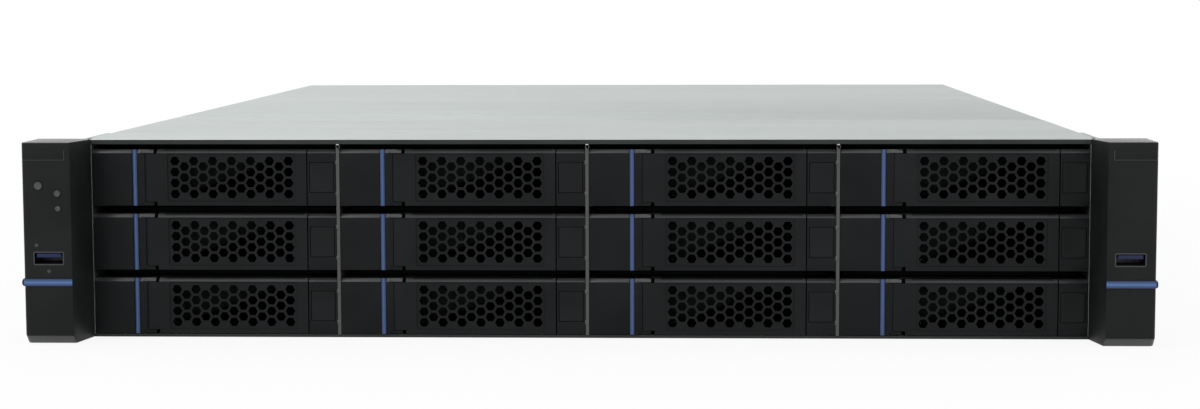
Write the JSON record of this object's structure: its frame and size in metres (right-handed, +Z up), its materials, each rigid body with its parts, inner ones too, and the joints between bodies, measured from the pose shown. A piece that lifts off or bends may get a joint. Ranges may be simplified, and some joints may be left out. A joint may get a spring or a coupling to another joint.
{
  "type": "2u rack server",
  "caption": "Flat rack-mount server with hot-swap drive trays across the front, mounting ears, galvanised case and hot-swap power supplies at the rear.",
  "frame": {"origin": "middle of the underside of the chassis, half way from the tray faces to the rear panel", "axes": "+X to the viewer's right from the front, +Y towards the rear, +Z up"},
  "size_m": [0.4836, 0.646, 0.087],
  "materials": {
    "galvanised": "satin galvanised sheet",
    "dark_paint": "satin dark grey paint",
    "tray_plastic": "fine matt black",
    "button_plastic": "matt dark grey",
    "ear_plastic": "matt dark grey",
    "accent_plastic": "satin blue",
    "dark_plastic": "matt black",
    "board": "green solder mask",
    "sink": "plain",
    "psu_metal": "satin"
  },
  "bodies": {
    "chassis": {"chassis_base": "galvanised", "front_cover": "galvanised", "front_header": "dark_paint", "drive_cage": "galvanised", "backplane": "board", "fan_frames": "dark_plastic", "system_boards": "board", "heatsinks": "sink", "memory_modules": "board", "rear_panel": "galvanised", "slot_covers": "galvanised", "ear_left": "ear_plastic", "ear_right": "ear_plastic"},
    "main_cover": {"main_cover": "galvanised"},
    "tray_r1_c1": {"tray_r1_c1": "tray_plastic"},
    "lever_r1_c1": {"lever_r1_c1": "tray_plastic"},
    "button_r1_c1": {"button_r1_c1": "button_plastic"},
    "tray_r2_c1": {"tray_r2_c1": "tray_plastic"},
    "lever_r2_c1": {"lever_r2_c1": "tray_plastic"},
    "button_r2_c1": {"button_r2_c1": "button_plastic"},
    "tray_r3_c1": {"tray_r3_c1": "tray_plastic"},
    "lever_r3_c1": {"lever_r3_c1": "tray_plastic"},
    "button_r3_c1": {"button_r3_c1": "button_plastic"},
    "tray_r1_c2": {"tray_r1_c2": "tray_plastic"},
    "lever_r1_c2": {"lever_r1_c2": "tray_plastic"},
    "button_r1_c2": {"button_r1_c2": "button_plastic"},
    "tray_r2_c2": {"tray_r2_c2": "tray_plastic"},
    "lever_r2_c2": {"lever_r2_c2": "tray_plastic"},
    "button_r2_c2": {"button_r2_c2": "button_plastic"},
    "tray_r3_c2": {"tray_r3_c2": "tray_plastic"},
    "lever_r3_c2": {"lever_r3_c2": "tray_plastic"},
    "button_r3_c2": {"button_r3_c2": "button_plastic"},
    "tray_r1_c3": {"tray_r1_c3": "tray_plastic"},
    "lever_r1_c3": {"lever_r1_c3": "tray_plastic"},
    "button_r1_c3": {"button_r1_c3": "button_plastic"},
    "tray_r2_c3": {"tray_r2_c3": "tray_plastic"},
    "lever_r2_c3": {"lever_r2_c3": "tray_plastic"},
    "button_r2_c3": {"button_r2_c3": "button_plastic"},
    "tray_r3_c3": {"tray_r3_c3": "tray_plastic"},
    "lever_r3_c3": {"lever_r3_c3": "tray_plastic"},
    "button_r3_c3": {"button_r3_c3": "button_plastic"},
    "tray_r1_c4": {"tray_r1_c4": "tray_plastic"},
    "lever_r1_c4": {"lever_r1_c4": "tray_plastic"},
    "button_r1_c4": {"button_r1_c4": "button_plastic"},
    "tray_r2_c4": {"tray_r2_c4": "tray_plastic"},
    "lever_r2_c4": {"lever_r2_c4": "tray_plastic"},
    "button_r2_c4": {"button_r2_c4": "button_plastic"},
    "tray_r3_c4": {"tray_r3_c4": "tray_plastic"},
    "lever_r3_c4": {"lever_r3_c4": "tray_plastic"},
    "button_r3_c4": {"button_r3_c4": "button_plastic"},
    "fan_rotor_1": {"fan_rotor_1": "dark_plastic"},
    "fan_rotor_2": {"fan_rotor_2": "dark_plastic"},
    "fan_rotor_3": {"fan_rotor_3": "dark_plastic"},
    "fan_rotor_4": {"fan_rotor_4": "dark_plastic"},
    "power_supply_1": {"power_supply_1": "psu_metal"},
    "psu_latch_1": {"psu_latch_1": "accent_plastic"},
    "power_supply_2": {"power_supply_2": "psu_metal"},
    "psu_latch_2": {"psu_latch_2": "accent_plastic"},
    "power_button": {"power_button": "button_plastic"},
    "id_button": {"id_button": "button_plastic"}
  },
  "joints": [
    {"name": "main_cover_slide", "type": "slide", "parent": "chassis", "child": "main_cover", "axis": [0, 1, 0], "range_m": [0, 0.42]},
    {"name": "tray_slide_r1_c1", "type": "slide", "parent": "chassis", "child": "tray_r1_c1", "axis": [0, -1, 0], "range_m": [0, 0.155]},
    {"name": "lever_swing_r1_c1", "type": "hinge", "parent": "tray_r1_c1", "child": "lever_r1_c1", "pos_m": [-0.1921, -0.2976, 0.01375], "axis": [0, 0, -1], "range_deg": [0, 60]},
    {"name": "button_push_r1_c1", "type": "slide", "parent": "tray_r1_c1", "child": "button_r1_c1", "axis": [0, 1, 0], "range_m": [0, 0.0015], "stiffness_N_per_m": 400},
    {"name": "tray_slide_r2_c1", "type": "slide", "parent": "chassis", "child": "tray_r2_c1", "axis": [0, -1, 0], "range_m": [0, 0.155]},
    {"name": "lever_swing_r2_c1", "type": "hinge", "parent": "tray_r2_c1", "child": "lever_r2_c1", "pos_m": [-0.1921, -0.2976, 0.04195], "axis": [0, 0, -1], "range_deg": [0, 60]},
    {"name": "button_push_r2_c1", "type": "slide", "parent": "tray_r2_c1", "child": "button_r2_c1", "axis": [0, 1, 0], "range_m": [0, 0.0015], "stiffness_N_per_m": 400},
    {"name": "tray_slide_r3_c1", "type": "slide", "parent": "chassis", "child": "tray_r3_c1", "axis": [0, -1, 0], "range_m": [0, 0.155]},
    {"name": "lever_swing_r3_c1", "type": "hinge", "parent": "tray_r3_c1", "child": "lever_r3_c1", "pos_m": [-0.1921, -0.2976, 0.07015], "axis": [0, 0, -1], "range_deg": [0, 60]},
    {"name": "button_push_r3_c1", "type": "slide", "parent": "tray_r3_c1", "child": "button_r3_c1", "axis": [0, 1, 0], "range_m": [0, 0.0015], "stiffness_N_per_m": 400},
    {"name": "tray_slide_r1_c2", "type": "slide", "parent": "chassis", "child": "tray_r1_c2", "axis": [0, -1, 0], "range_m": [0, 0.155]},
    {"name": "lever_swing_r1_c2", "type": "hinge", "parent": "tray_r1_c2", "child": "lever_r1_c2", "pos_m": [-0.0834, -0.2976, 0.01375], "axis": [0, 0, -1], "range_deg": [0, 60]},
    {"name": "button_push_r1_c2", "type": "slide", "parent": "tray_r1_c2", "child": "button_r1_c2", "axis": [0, 1, 0], "range_m": [0, 0.0015], "stiffness_N_per_m": 400},
    {"name": "tray_slide_r2_c2", "type": "slide", "parent": "chassis", "child": "tray_r2_c2", "axis": [0, -1, 0], "range_m": [0, 0.155]},
    {"name": "lever_swing_r2_c2", "type": "hinge", "parent": "tray_r2_c2", "child": "lever_r2_c2", "pos_m": [-0.0834, -0.2976, 0.04195], "axis": [0, 0, -1], "range_deg": [0, 60]},
    {"name": "button_push_r2_c2", "type": "slide", "parent": "tray_r2_c2", "child": "button_r2_c2", "axis": [0, 1, 0], "range_m": [0, 0.0015], "stiffness_N_per_m": 400},
    {"name": "tray_slide_r3_c2", "type": "slide", "parent": "chassis", "child": "tray_r3_c2", "axis": [0, -1, 0], "range_m": [0, 0.155]},
    {"name": "lever_swing_r3_c2", "type": "hinge", "parent": "tray_r3_c2", "child": "lever_r3_c2", "pos_m": [-0.0834, -0.2976, 0.07015], "axis": [0, 0, -1], "range_deg": [0, 60]},
    {"name": "button_push_r3_c2", "type": "slide", "parent": "tray_r3_c2", "child": "button_r3_c2", "axis": [0, 1, 0], "range_m": [0, 0.0015], "stiffness_N_per_m": 400},
    {"name": "tray_slide_r1_c3", "type": "slide", "parent": "chassis", "child": "tray_r1_c3", "axis": [0, -1, 0], "range_m": [0, 0.155]},
    {"name": "lever_swing_r1_c3", "type": "hinge", "parent": "tray_r1_c3", "child": "lever_r1_c3", "pos_m": [0.0253, -0.2976, 0.01375], "axis": [0, 0, -1], "range_deg": [0, 60]},
    {"name": "button_push_r1_c3", "type": "slide", "parent": "tray_r1_c3", "child": "button_r1_c3", "axis": [0, 1, 0], "range_m": [0, 0.0015], "stiffness_N_per_m": 400},
    {"name": "tray_slide_r2_c3", "type": "slide", "parent": "chassis", "child": "tray_r2_c3", "axis": [0, -1, 0], "range_m": [0, 0.155]},
    {"name": "lever_swing_r2_c3", "type": "hinge", "parent": "tray_r2_c3", "child": "lever_r2_c3", "pos_m": [0.0253, -0.2976, 0.04195], "axis": [0, 0, -1], "range_deg": [0, 60]},
    {"name": "button_push_r2_c3", "type": "slide", "parent": "tray_r2_c3", "child": "button_r2_c3", "axis": [0, 1, 0], "range_m": [0, 0.0015], "stiffness_N_per_m": 400},
    {"name": "tray_slide_r3_c3", "type": "slide", "parent": "chassis", "child": "tray_r3_c3", "axis": [0, -1, 0], "range_m": [0, 0.155]},
    {"name": "lever_swing_r3_c3", "type": "hinge", "parent": "tray_r3_c3", "child": "lever_r3_c3", "pos_m": [0.0253, -0.2976, 0.07015], "axis": [0, 0, -1], "range_deg": [0, 60]},
    {"name": "button_push_r3_c3", "type": "slide", "parent": "tray_r3_c3", "child": "button_r3_c3", "axis": [0, 1, 0], "range_m": [0, 0.0015], "stiffness_N_per_m": 400},
    {"name": "tray_slide_r1_c4", "type": "slide", "parent": "chassis", "child": "tray_r1_c4", "axis": [0, -1, 0], "range_m": [0, 0.155]},
    {"name": "lever_swing_r1_c4", "type": "hinge", "parent": "tray_r1_c4", "child": "lever_r1_c4", "pos_m": [0.134, -0.2976, 0.01375], "axis": [0, 0, -1], "range_deg": [0, 60]},
    {"name": "button_push_r1_c4", "type": "slide", "parent": "tray_r1_c4", "child": "button_r1_c4", "axis": [0, 1, 0], "range_m": [0, 0.0015], "stiffness_N_per_m": 400},
    {"name": "tray_slide_r2_c4", "type": "slide", "parent": "chassis", "child": "tray_r2_c4", "axis": [0, -1, 0], "range_m": [0, 0.155]},
    {"name": "lever_swing_r2_c4", "type": "hinge", "parent": "tray_r2_c4", "child": "lever_r2_c4", "pos_m": [0.134, -0.2976, 0.04195], "axis": [0, 0, -1], "range_deg": [0, 60]},
    {"name": "button_push_r2_c4", "type": "slide", "parent": "tray_r2_c4", "child": "button_r2_c4", "axis": [0, 1, 0], "range_m": [0, 0.0015], "stiffness_N_per_m": 400},
    {"name": "tray_slide_r3_c4", "type": "slide", "parent": "chassis", "child": "tray_r3_c4", "axis": [0, -1, 0], "range_m": [0, 0.155]},
    {"name": "lever_swing_r3_c4", "type": "hinge", "parent": "tray_r3_c4", "child": "lever_r3_c4", "pos_m": [0.134, -0.2976, 0.07015], "axis": [0, 0, -1], "range_deg": [0, 60]},
    {"name": "button_push_r3_c4", "type": "slide", "parent": "tray_r3_c4", "child": "button_r3_c4", "axis": [0, 1, 0], "range_m": [0, 0.0015], "stiffness_N_per_m": 400},
    {"name": "fan_spin_1", "type": "hinge", "parent": "chassis", "child": "fan_rotor_1", "pos_m": [-0.156, -0.097, 0.0427], "axis": [0, 1, 0], "continuous": true},
    {"name": "fan_spin_2", "type": "hinge", "parent": "chassis", "child": "fan_rotor_2", "pos_m": [-0.052, -0.097, 0.0427], "axis": [0, 1, 0], "continuous": true},
    {"name": "fan_spin_3", "type": "hinge", "parent": "chassis", "child": "fan_rotor_3", "pos_m": [0.052, -0.097, 0.0427], "axis": [0, 1, 0], "continuous": true},
    {"name": "fan_spin_4", "type": "hinge", "parent": "chassis", "child": "fan_rotor_4", "pos_m": [0.156, -0.097, 0.0427], "axis": [0, 1, 0], "continuous": true},
    {"name": "psu_slide_1", "type": "slide", "parent": "chassis", "child": "power_supply_1", "axis": [0, 1, 0], "range_m": [0, 0.18]},
    {"name": "psu_latch_press_1", "type": "slide", "parent": "power_supply_1", "child": "psu_latch_1", "axis": [1, 0, 0], "range_m": [0, 0.0025], "stiffness_N_per_m": 600},
    {"name": "psu_slide_2", "type": "slide", "parent": "chassis", "child": "power_supply_2", "axis": [0, 1, 0], "range_m": [0, 0.18]},
    {"name": "psu_latch_press_2", "type": "slide", "parent": "power_supply_2", "child": "psu_latch_2", "axis": [1, 0, 0], "range_m": [0, 0.0025], "stiffness_N_per_m": 600},
    {"name": "power_button_push", "type": "slide", "parent": "chassis", "child": "power_button", "axis": [0, 1, 0], "range_m": [0, 0.001], "stiffness_N_per_m": 400},
    {"name": "id_button_push", "type": "slide", "parent": "chassis", "child": "id_button", "axis": [0, 1, 0], "range_m": [0, 0.001], "stiffness_N_per_m": 400}
  ]
}
